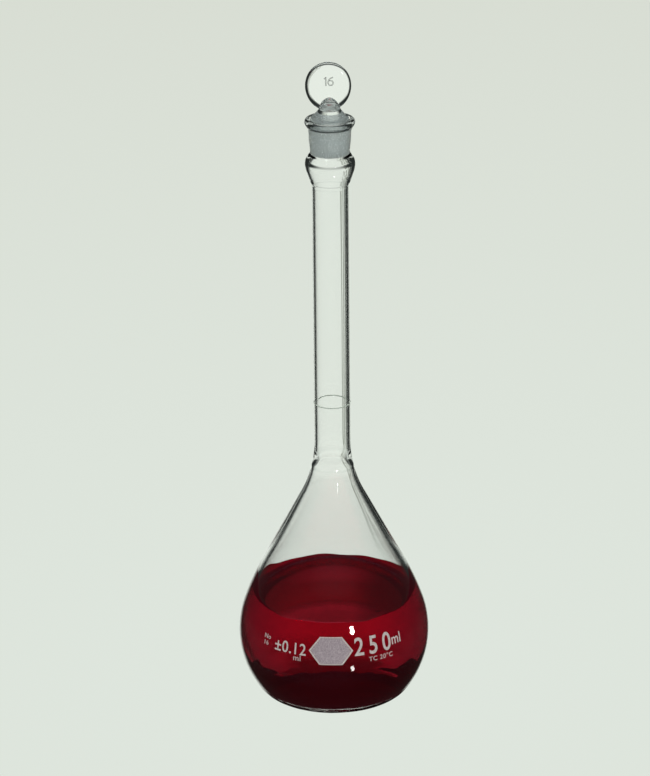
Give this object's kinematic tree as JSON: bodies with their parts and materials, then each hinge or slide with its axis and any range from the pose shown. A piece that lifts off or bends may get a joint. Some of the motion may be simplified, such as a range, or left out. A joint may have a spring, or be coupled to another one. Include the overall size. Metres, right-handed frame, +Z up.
{
  "type": "volumetric flask",
  "caption": "Round-bottomed glass volumetric flask on a flat foot, with a long neck, a graduation line, a ground socket and a lift-out penny-head stopper, part filled with red solution.",
  "frame": {"origin": "centre of the foot, on the plane that the flask rests on", "axes": "+Z up the flask's axis towards the stopper, -Y towards the write-on patch (front), +X to the right seen from the front"},
  "size_m": [0.08, 0.0801, 0.277],
  "materials": {
    "clear_glass": "polished",
    "stopper_glass": "polished",
    "red_solution": "polished",
    "line_enamel": "satin",
    "patch_enamel": "matte"
  },
  "bodies": {
    "flask": {"bulb": "clear_glass", "neck_tube": "clear_glass", "stopper_socket": "clear_glass", "red_solution": "red_solution", "graduation_line": "line_enamel", "marking_patch": "patch_enamel"},
    "stopper": {"stopper": "stopper_glass"}
  },
  "joints": [
    {"name": "stopper_lift", "type": "slide", "parent": "flask", "child": "stopper", "axis": [0, 0, 1], "range_m": [0, 0.06]}
  ]
}
